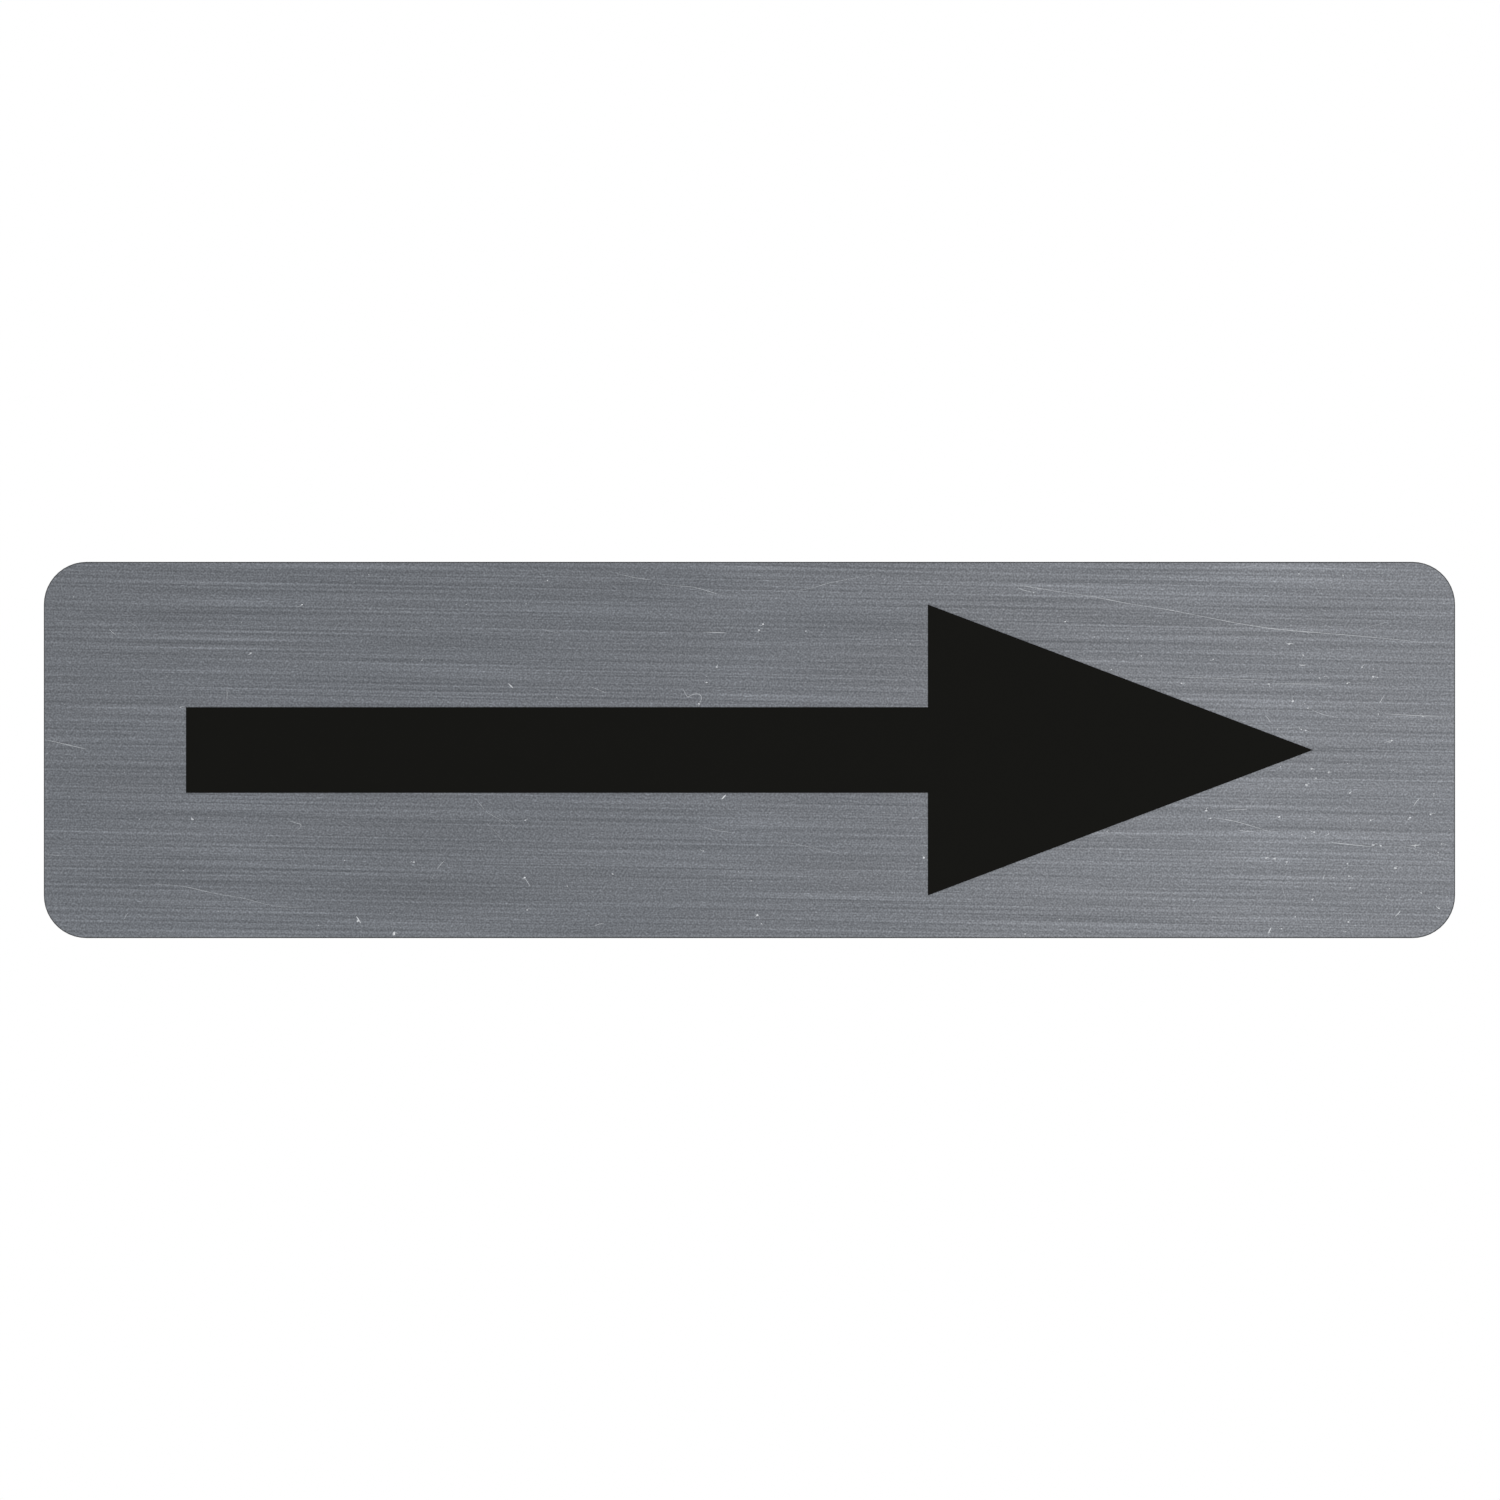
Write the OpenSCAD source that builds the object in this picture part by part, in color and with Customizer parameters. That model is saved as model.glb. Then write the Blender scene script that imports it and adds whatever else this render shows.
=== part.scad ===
// Stick-on direction sign: a small brushed metal plate with a black arrow on its face.
// It stands upright as it is fixed to a wall. The wall is the plane y = 0, the face looks
// along -Y, the arrow points along +X, and the origin is the middle of the stuck surface.

/* [Plate] */
// Length of the plate, end to end
plate_l = 165; // [120:1:300]
// Height of the plate
plate_h = 44; // [36:1:90]
// Thickness of the metal sheet
plate_t = 1; // [0.8:0.1:3]
// Radius of the four corners, seen from the front
corner_r = 5; // [2:0.5:12]
// Radius of the eased rim that punching leaves round the front face
rim_r = 0.15; // [0.05:0.05:0.4]

/* [Arrow] */
// Gap between each end of the arrow and the plate's end
arrow_end_gap = 16.65; // [5:0.05:25]
// Gap between the arrowhead's corners and the plate's long edges
arrow_side_gap = 5; // [3:0.5:9]
// Length of the arrowhead, base to tip
head_l = 45; // [25:1:60]
// Width of the arrow's shaft
shaft_w = 10; // [4:0.5:14]
// Thickness of the black film
film_t = 0.1; // [0.05:0.05:0.3]

/* [Mounting tape] */
// Width of the foam tape across the plate's height
tape_w = 25; // [12:1:30]
// Gap between each end of the tape and the plate's end
tape_end_gap = 5; // [1:0.5:20]
// Thickness of the foam tape
tape_t = 1; // [0.5:0.1:2]

/* [Hidden] */
$fn = 96;

// Everything is drawn lying on its back: z = 0 is the wall, and z grows out of it
back_of_plate = tape_t;
face_of_plate = back_of_plate + plate_t;

// Centres of the corner arcs, measured from the middle of the plate
corner_x = plate_l / 2 - corner_r;
corner_y = plate_h / 2 - corner_r;

// The arrow is centred on the plate, so its size follows from the gaps round it
arrow_half_l = plate_l / 2 - arrow_end_gap;
head_half_w = plate_h / 2 - arrow_side_gap;
head_base_x = arrow_half_l - head_l;

tape_l = plate_l - 2 * tape_end_gap;

METAL = [0.46, 0.47, 0.49];
BLACK = [0.09, 0.09, 0.08];
FOAM = [0.92, 0.92, 0.90];

// Stands what is drawn on its back upright, with its face towards -Y
module upright() {
    rotate([90, 0, 0]) children();
}

// A shape and its mirror image
module both_sides(axis) {
    children();
    mirror(axis) children();
}

// Section of the sheet, from a line inside it out to the rim: square at the back, eased at the front
module rim_section(reach) {
    square([reach, plate_t - rim_r]);
    square([reach - rim_r, plate_t]);
    translate([reach - rim_r, plate_t - rim_r]) circle(r = rim_r);
}

// The sheet between the left and right corner arcs, with its top and bottom rims
module long_edges() {
    both_sides([0, 1, 0])
        rotate([90, 0, 90])
            linear_extrude(height = 2 * corner_x, center = true) rim_section(plate_h / 2);
}

// The sheet beyond the corner centres at each end, with its left and right rims
module short_edges() {
    both_sides([1, 0, 0])
        translate([corner_x, 0, 0])
            rotate([90, 0, 0])
                linear_extrude(height = 2 * corner_y, center = true) rim_section(corner_r);
}

// The four quarter-round corners, with the same section turned about each corner's centre
module corners() {
    both_sides([1, 0, 0])
        both_sides([0, 1, 0])
            translate([corner_x, corner_y, 0])
                rotate_extrude(angle = 90) rim_section(corner_r);
}

module sign_plate() {
    color(METAL)
        upright()
            translate([0, 0, back_of_plate]) {
                long_edges();
                short_edges();
                corners();
            }
}

// Outline of the arrow, pointing along +X, with sharp corners as it is cut
module arrow_outline() {
    polygon([
        [-arrow_half_l, -shaft_w / 2],
        [head_base_x, -shaft_w / 2],
        [head_base_x, -head_half_w],
        [arrow_half_l, 0],
        [head_base_x, head_half_w],
        [head_base_x, shaft_w / 2],
        [-arrow_half_l, shaft_w / 2],
    ]);
}

module arrow() {
    color(BLACK)
        upright()
            translate([0, 0, face_of_plate])
                linear_extrude(height = film_t) arrow_outline();
}

// Double-sided foam tape between the wall and the back of the plate
module mounting_tape() {
    color(FOAM)
        upright()
            linear_extrude(height = tape_t) square([tape_l, tape_w], center = true);
}

sign_plate();
arrow();
mounting_tape();
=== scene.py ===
"""Looks of a stick-on direction sign: a brushed metal plate with a black arrow on its face.

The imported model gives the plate, the arrow and the foam tape in metres: +X the way the arrow
points, +Y into the wall, +Z up. The plate and the arrow keep their solids and get their finish
here, the tape is cut again as soft foam, and the wear on the face is raised as fine burrs.
"""

import math

import bmesh
import bpy
import numpy as np
from bpy.props import FloatProperty, FloatVectorProperty, IntProperty, PointerProperty
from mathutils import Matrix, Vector
from mathutils.bvhtree import BVHTree


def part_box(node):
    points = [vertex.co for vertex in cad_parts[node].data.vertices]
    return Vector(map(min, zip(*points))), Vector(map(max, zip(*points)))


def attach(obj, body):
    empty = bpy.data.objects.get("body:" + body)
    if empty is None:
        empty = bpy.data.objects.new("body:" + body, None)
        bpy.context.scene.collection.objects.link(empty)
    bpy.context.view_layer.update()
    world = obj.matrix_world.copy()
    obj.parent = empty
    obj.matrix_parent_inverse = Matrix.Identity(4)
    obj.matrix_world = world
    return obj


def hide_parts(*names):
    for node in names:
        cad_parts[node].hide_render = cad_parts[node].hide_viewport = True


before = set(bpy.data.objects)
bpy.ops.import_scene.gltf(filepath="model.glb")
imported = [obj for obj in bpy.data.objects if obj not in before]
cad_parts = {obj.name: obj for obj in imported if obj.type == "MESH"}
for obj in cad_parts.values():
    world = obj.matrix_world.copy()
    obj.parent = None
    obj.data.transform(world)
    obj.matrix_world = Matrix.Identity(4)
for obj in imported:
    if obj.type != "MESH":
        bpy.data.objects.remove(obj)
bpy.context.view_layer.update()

bl_info = {
    "name": "Arrow Sign Finish",
    "version": (1, 0, 0),
    "blender": (4, 5, 0),
    "location": "3D View > Sidebar > Arrow Sign",
    "description": "Finishes a stick-on arrow sign: brushed plate, black film, foam tape and wear",
    "category": "Object",
}

MM = 0.001
BODY = "root"

# Where the pieces lie, from the frame
PLATE_LOW, PLATE_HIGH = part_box("sign_plate")
TAPE_LOW, TAPE_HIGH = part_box("mounting_tape")
FACE_Y = PLATE_LOW.y

# The plate is widest where its eased front rim meets its side, this far behind the face
EASED_RIM = 0.15 * MM


# Settings


class PlateFinish(bpy.types.PropertyGroup):
    """Brushed face, cut rim and rolled back of the plate"""

    colour: FloatVectorProperty(
        name="Metal", description="Mean colour of the brushed face, linear",
        subtype="COLOR", size=3, min=0, max=1, default=(0.1775, 0.1885, 0.207))
    back_colour: FloatVectorProperty(
        name="Back", description="Colour of the rolled, unbrushed back, linear",
        subtype="COLOR", size=3, min=0, max=1, default=(0.30, 0.31, 0.325))
    # The eased rim is darkened as painted shade, a dark line along the face's edge
    painted_rim_shade: FloatProperty(
        name="Rim shade", description="How bright the eased rim is beside the face",
        subtype="FACTOR", min=0, max=2, default=0.25)
    side_shade: FloatProperty(
        name="Side shade", description="How bright the cut side is beside the face",
        subtype="FACTOR", min=0, max=2, default=1.2)
    roughness: FloatProperty(
        name="Roughness", description="Roughness of the brushed face",
        subtype="FACTOR", min=0, max=1, default=0.38)
    slope: FloatProperty(
        name="Brush slope", description="How far the brush lines fall towards the arrow's tip",
        subtype="ANGLE", unit="ROTATION", default=math.radians(1.1))
    line_length: FloatProperty(
        name="Line length", description="Length of one brush line",
        subtype="DISTANCE", unit="LENGTH", default=26 * MM)
    line_width: FloatProperty(
        name="Line width", description="Width of one brush line",
        subtype="DISTANCE", unit="LENGTH", default=0.28 * MM)
    grain: FloatProperty(
        name="Grain", description="Size of the fine grain between the brush lines",
        subtype="DISTANCE", unit="LENGTH", default=0.21 * MM)


class FilmFinish(bpy.types.PropertyGroup):
    """Black film of the arrow"""

    colour: FloatVectorProperty(
        name="Film", description="Colour of the black film, linear",
        subtype="COLOR", size=3, min=0, max=1, default=(0.0062, 0.0062, 0.0051))
    roughness: FloatProperty(
        name="Roughness", description="Roughness of the film",
        subtype="FACTOR", min=0, max=1, default=0.6)


class WearMarks(bpy.types.PropertyGroup):
    """Scratches and specks on the brushed face"""

    colour: FloatVectorProperty(
        name="Bare metal", description="Colour of the metal that a scratch lays bare, linear",
        subtype="COLOR", size=3, min=0, max=1, default=(0.62, 0.64, 0.665))
    scratch_width: FloatProperty(
        name="Scratch width", description="Width of the strongest scratch at its middle",
        subtype="DISTANCE", unit="LENGTH", default=0.1 * MM)
    faint_specks: IntProperty(
        name="Faint specks", description="Number of the smallest specks", min=0, default=260)
    faint_nicks: IntProperty(
        name="Faint nicks", description="Number of the shortest scratches", min=0, default=60)
    seed: IntProperty(
        name="Seed", description="Start of the scatter of the small marks", default=11)


class TapeFinish(bpy.types.PropertyGroup):
    """Double-sided foam tape on the back"""

    colour: FloatVectorProperty(
        name="Foam", description="Colour of the foam, linear",
        subtype="COLOR", size=3, min=0, max=1, default=(0.78, 0.77, 0.74))
    seed: IntProperty(
        name="Seed", description="Start of the roughness of the cut sides", default=5)


class Stage(bpy.types.PropertyGroup):
    """Camera, lamps, floor and background"""

    lens: FloatProperty(
        name="Lens", description="Focal length of the camera, in millimetres",
        min=1, max=500, default=100)
    floor_drop: FloatProperty(
        name="Floor drop", description="How far the floor lies below the middle of the sign",
        subtype="DISTANCE", unit="LENGTH", default=150 * MM)
    ambient: FloatProperty(
        name="Ambient", description="Strength of the plain light from all round",
        min=0, max=2, default=0.85)


# Node helpers


class Shading:
    """A material's node tree, with a short way to add each kind of node."""

    def __init__(self, name):
        self.material = bpy.data.materials.new(name)
        self.material.use_nodes = True
        self.tree = self.material.node_tree
        self.tree.nodes.clear()
        self.output = self.node("ShaderNodeOutputMaterial")

    def node(self, kind, inputs=None, **settings):
        made = self.tree.nodes.new(kind)
        for key, value in settings.items():
            setattr(made, key, value)
        for key, value in (inputs or {}).items():
            self.feed(made.inputs[key], value)
        return made

    def feed(self, socket, value):
        if isinstance(value, bpy.types.NodeSocket):
            self.tree.links.new(value, socket)
        else:
            socket.default_value = value

    def math(self, operation, *values):
        made = self.node("ShaderNodeMath", dict(enumerate(values)), operation=operation)
        return made.outputs[0]

    def place(self):
        """Position in the row frame, in metres."""
        return self.node("ShaderNodeTexCoord").outputs["Object"]

    def facing(self):
        """The Y part of the surface's own direction: -1 on the face, 1 on the back."""
        normal = self.node("ShaderNodeNewGeometry").outputs["True Normal"]
        return self.node("ShaderNodeSeparateXYZ", {0: normal}).outputs["Y"]

    def noise(self, size, turn, depth, detail=0.0):
        """Noise whose features measure size = (along X, along Y, along Z), in metres.

        It is turned in the plane of the face, and moved depth millimetres into it, so that
        each noise has a pattern of its own.
        """
        mapped = self.node(
            "ShaderNodeMapping",
            {"Vector": self.place(), "Location": (0.0, depth * MM, 0.0),
             "Rotation": (0.0, turn, 0.0), "Scale": size},
            vector_type="TEXTURE")
        made = self.node(
            "ShaderNodeTexNoise",
            {"Vector": mapped.outputs[0], "Scale": 1.0, "Detail": detail, "Roughness": 0.5})
        return made.outputs["Fac"]

    def patch(self, middle, half_size, turn):
        """1 at a place on the face, fading to 0 at half_size = (along X, along Z) from it."""
        mapped = self.node(
            "ShaderNodeMapping",
            {"Vector": self.place(), "Location": (middle[0], 0.0, middle[1]),
             "Rotation": (0.0, turn, 0.0), "Scale": (half_size[0], 1.0, half_size[1])},
            vector_type="TEXTURE")
        made = self.node(
            "ShaderNodeTexGradient", {"Vector": mapped.outputs[0]},
            gradient_type="QUADRATIC_SPHERE")
        return made.outputs["Fac"]

    def ramp(self, value, low, high, bottom=0.0, top=1.0):
        """Value's range from low to high, taken to the range from bottom to top and held there."""
        made = self.node(
            "ShaderNodeMapRange",
            {"Value": value, "From Min": low, "From Max": high, "To Min": bottom, "To Max": top})
        return made.outputs["Result"]

    def scaled(self, colour, factor):
        """A colour times a brightness."""
        made = self.node("ShaderNodeVectorMath", {0: colour, "Scale": factor}, operation="SCALE")
        return made.outputs[0]

    def mix(self, factor, a, b):
        """From colour a at 0 to colour b at 1."""
        made = self.node("ShaderNodeMix", {0: factor, 6: a, 7: b}, data_type="RGBA")
        return made.outputs[2]

    def finish(self, shader):
        self.tree.links.new(shader.outputs[0], self.output.inputs["Surface"])
        return self.material


def with_alpha(colour):
    """A colour of three parts, with the fourth that a colour socket asks for."""
    return (*colour, 1.0)


# The brushed plate


# Soft bands of brushing tone and of painted light and shade: the wide ones over the middle and
# right paint the face brighter low and darker high. Middle x and z, half length and half width in
# mm, brightness
SOFT_TONE_AND_SHADE_BANDS = (
    (62, -11.5, 30, 8, 0.075),
    (77, -12, 22, 6, 0.07),
    (58, -19.5, 40, 4, 0.03),
    (20, 14, 70, 9, -0.11),
    (58, 13, 28, 8, -0.065),
    (32, 15, 24, 7, -0.06),
    (0, -13, 55, 5, 0.035),
    (-66, 15.8, 24, 2.2, -0.08),
    (-34, 12.4, 26, 1.8, -0.06),
    (-64, 12.6, 14, 1.0, -0.07),
    (-62, 18.3, 34, 1.6, 0.05),
    (-72, -7.6, 20, 1.5, -0.05),
    (-66, -10.2, 24, 1.6, 0.05),
    (-30, -16.5, 60, 2.5, -0.03),
    (-78, 3.8, 14, 1.2, 0.05),
    (-78, 1.8, 14, 1.0, -0.05),
    (50, 20.8, 34, 0.9, -0.11),
    (-25, 21, 45, 0.6, -0.06),
    (50, -20.2, 32, 0.6, -0.1),
    (50, -21.3, 36, 0.5, 0.08),
)

# Single brush lines that stand out, written in the same way
BRUSH_LINES = (
    (-76, 14.65, 10, 0.3, 0.16),
    (-79, 11.6, 8, 0.3, 0.14),
    (-79, 8.2, 9, 0.35, -0.12),
    (-74, 5, 13, 0.3, 0.14),
    (-74, 3.6, 14, 0.3, 0.12),
    (-74, 2.9, 14, 0.35, -0.14),
    (-74, -0.6, 14, 0.3, 0.12),
    (-60, 19.5, 30, 0.25, 0.1),
    (-4, 15.3, 9, 0.5, 0.08),
    (-20, -7.7, 24, 0.25, 0.14),
    (-26, -12, 18, 0.25, 0.14),
    (-22, -18.6, 14, 0.25, 0.14),
)

# A noise draws a thin line where it is this near its middle. The line is bright by the first
# part of its share, and the ground beside it is dark by the second.
LINE_REACH = 0.06
LINE_LIGHT, GROUND_LIGHT = 0.8, -0.2

# Turn of the grain, so that its cells don't run along the brushing
GRAIN_TURN = 0.6

# Tiny painted glint highlights, light painted into the metal's colour: length, depth and height in
# mm, the part of the noise that shows, and how bright a glint and the ground between them are
PAINTED_GLINT_SIZE = (1.1, 0.12, 0.07)
PAINTED_GLINT_FROM, PAINTED_GLINT_TO = 0.68, 0.85
PAINTED_GLINT_LIGHT, PAINTED_GLINT_GROUND = 0.5, -0.005

# A painted highlight: the face is painted brighter this far over its bottom edge, in a line of this
# half width, by this share
LOW_EDGE = 0.3 * MM
LOW_EDGE_WIDTH = 0.22 * MM
LOW_EDGE_PAINTED_LIGHT = 0.26


def brushing(shading, look):
    """Logarithm of the brushed metal's brightness at a place, with painted glint highlights,
    painted light and painted shade in it, and the noise of its main lines.
    """
    width = look.line_width

    def streaks(length, breadth, depth):
        """Noise drawn out along the brushing."""
        return shading.noise((length, MM, breadth), look.slope, depth)

    # Each noise with its share of the brightness: brush lines, clouds and grain
    lines = streaks(look.line_length, width, 3)
    layers = (
        (0.44, lines),
        (0.45, streaks(120 * MM, 0.8 * width, 5)),
        (0.04, streaks(200 * MM, 2.5 * MM, 7)),
        (0.06, streaks(200 * MM, 6 * MM, 9)),
        (1.05, shading.noise((look.grain,) * 3, GRAIN_TURN, 11)),
    )
    total = 0.0
    for share, noise in layers:
        total = shading.math("MULTIPLY_ADD", shading.math("SUBTRACT", noise, 0.5), share, total)

    # Where a noise crosses its middle it draws a thin bright line
    crossings = (
        (0.13, streaks(110 * MM, 1.3 * width, 23)),
        (0.13, streaks(60 * MM, 0.9 * width, 14)),
    )
    for share, noise in crossings:
        away = shading.math("ABSOLUTE", shading.math("SUBTRACT", noise, 0.5))
        thin_line = shading.ramp(away, 0.0, LINE_REACH, LINE_LIGHT * share, GROUND_LIGHT * share)
        total = shading.math("ADD", total, thin_line)

    # Painted highlights: tiny glint spots painted brighter into the metal's colour, and raised in
    # its bump as well
    painted_glint_noise = shading.noise(tuple(size * MM for size in PAINTED_GLINT_SIZE), look.slope, 13)
    painted_glint_light = shading.ramp(painted_glint_noise, PAINTED_GLINT_FROM, PAINTED_GLINT_TO, PAINTED_GLINT_GROUND, PAINTED_GLINT_LIGHT)
    total = shading.math("ADD", total, painted_glint_light)
    # Soft bands of tone and of painted light and shade, then the single brush lines
    for x, z, half_length, half_width, share in SOFT_TONE_AND_SHADE_BANDS + BRUSH_LINES:
        tone_and_shade_band = shading.patch((x * MM, z * MM), (half_length * MM, half_width * MM), look.slope)
        total = shading.math("MULTIPLY_ADD", tone_and_shade_band, share, total)
    # Painted highlight in a thin line just over the bottom edge
    painted_low_edge_highlight = shading.patch(
        (0.0, PLATE_LOW.z + LOW_EDGE), (2 * PLATE_HIGH.x, LOW_EDGE_WIDTH), 0.0)
    return shading.math("MULTIPLY_ADD", painted_low_edge_highlight, LOW_EDGE_PAINTED_LIGHT, total), lines


# The Y part of the surface's direction where the face and the back begin, and where they are full
FACE_FACING = (-0.97, -0.995)
BACK_FACING = (0.9, 0.99)

# The same where the eased rim goes over to the cut side
RIM_FACING = (-0.25, -0.05)

# The metal is a trace warmer in some places than in others
WARM, COOL = (1.003, 1.0, 0.998), (0.997, 1.0, 1.002)


def brushed_metal(look):
    """Fine lines along the plate over an even grain, with painted light, shade and glint highlights
    on the face, a plainer rim darkened as painted shade, and a plainer back.
    """
    shading = Shading("brushed_metal")
    change, lines = brushing(shading, look)
    brightness = shading.math("EXPONENT", change)

    haze = shading.ramp(shading.noise((14 * MM, 5 * MM, 5 * MM), look.slope, 15), 0.3, 0.7)
    warm, cool = (with_alpha(part * tint for part, tint in zip(look.colour, tints))
                  for tints in (WARM, COOL))
    face = shading.scaled(shading.mix(haze, warm, cool), brightness)

    rolled = shading.noise((40 * MM, MM, 0.5 * MM), 0.0, 2, detail=2.0)
    back = shading.scaled(tuple(look.back_colour), shading.ramp(rolled, 0.0, 1.0, 0.82, 1.18))

    facing = shading.facing()
    cut_grain = shading.noise((0.15 * MM, 1.5 * MM, 0.15 * MM), 0.0, 0.4)
    # The eased rim is darkened as painted shade, a dark line along the edge
    rim = shading.scaled(
        tuple(look.colour),
        shading.math("MULTIPLY", shading.ramp(cut_grain, 0.0, 1.0, 0.8, 1.2),
                     shading.ramp(facing, *RIM_FACING, look.painted_rim_shade, look.side_shade)))

    colour = shading.mix(shading.ramp(facing, *FACE_FACING), rim, face)
    colour = shading.mix(shading.ramp(facing, *BACK_FACING), colour, back)
    roughness = shading.ramp(lines, 0.2, 0.8, look.roughness + 0.015, look.roughness - 0.015)
    height = shading.node(
        "ShaderNodeBump", {"Height": change, "Strength": 0.15, "Distance": 0.01 * MM})
    metal = shading.node(
        "ShaderNodeBsdfPrincipled",
        {"Base Color": colour, "Metallic": 1.0, "Roughness": roughness,
         "Anisotropic": 0.9, "Anisotropic Rotation": 0.25, "Normal": height.outputs[0]})
    return shading.finish(metal)


def set_finish(node, material):
    """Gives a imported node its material."""
    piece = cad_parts[node]
    for slot in piece.material_slots:
        slot.material = material
    return piece


# The arrow


def black_film(look):
    """Matt black film with a faint unevenness."""
    shading = Shading("black_film")
    mottle = shading.noise((3 * MM,) * 3, 0.0, 1, detail=3.0)
    colour = shading.scaled(tuple(look.colour), shading.ramp(mottle, 0.2, 0.8, 0.92, 1.08))
    roughness = shading.ramp(mottle, 0.2, 0.8, look.roughness - 0.04, look.roughness + 0.04)
    grain = shading.noise((0.2 * MM,) * 3, 0.0, 1.3, detail=2.0)
    height = shading.node(
        "ShaderNodeBump", {"Height": grain, "Strength": 0.1, "Distance": 0.005 * MM})
    film = shading.node(
        "ShaderNodeBsdfPrincipled",
        {"Base Color": colour, "Roughness": roughness, "Specular IOR Level": 0.05,
         "Normal": height.outputs[0]})
    return shading.finish(film)


# Wear on the face


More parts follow.
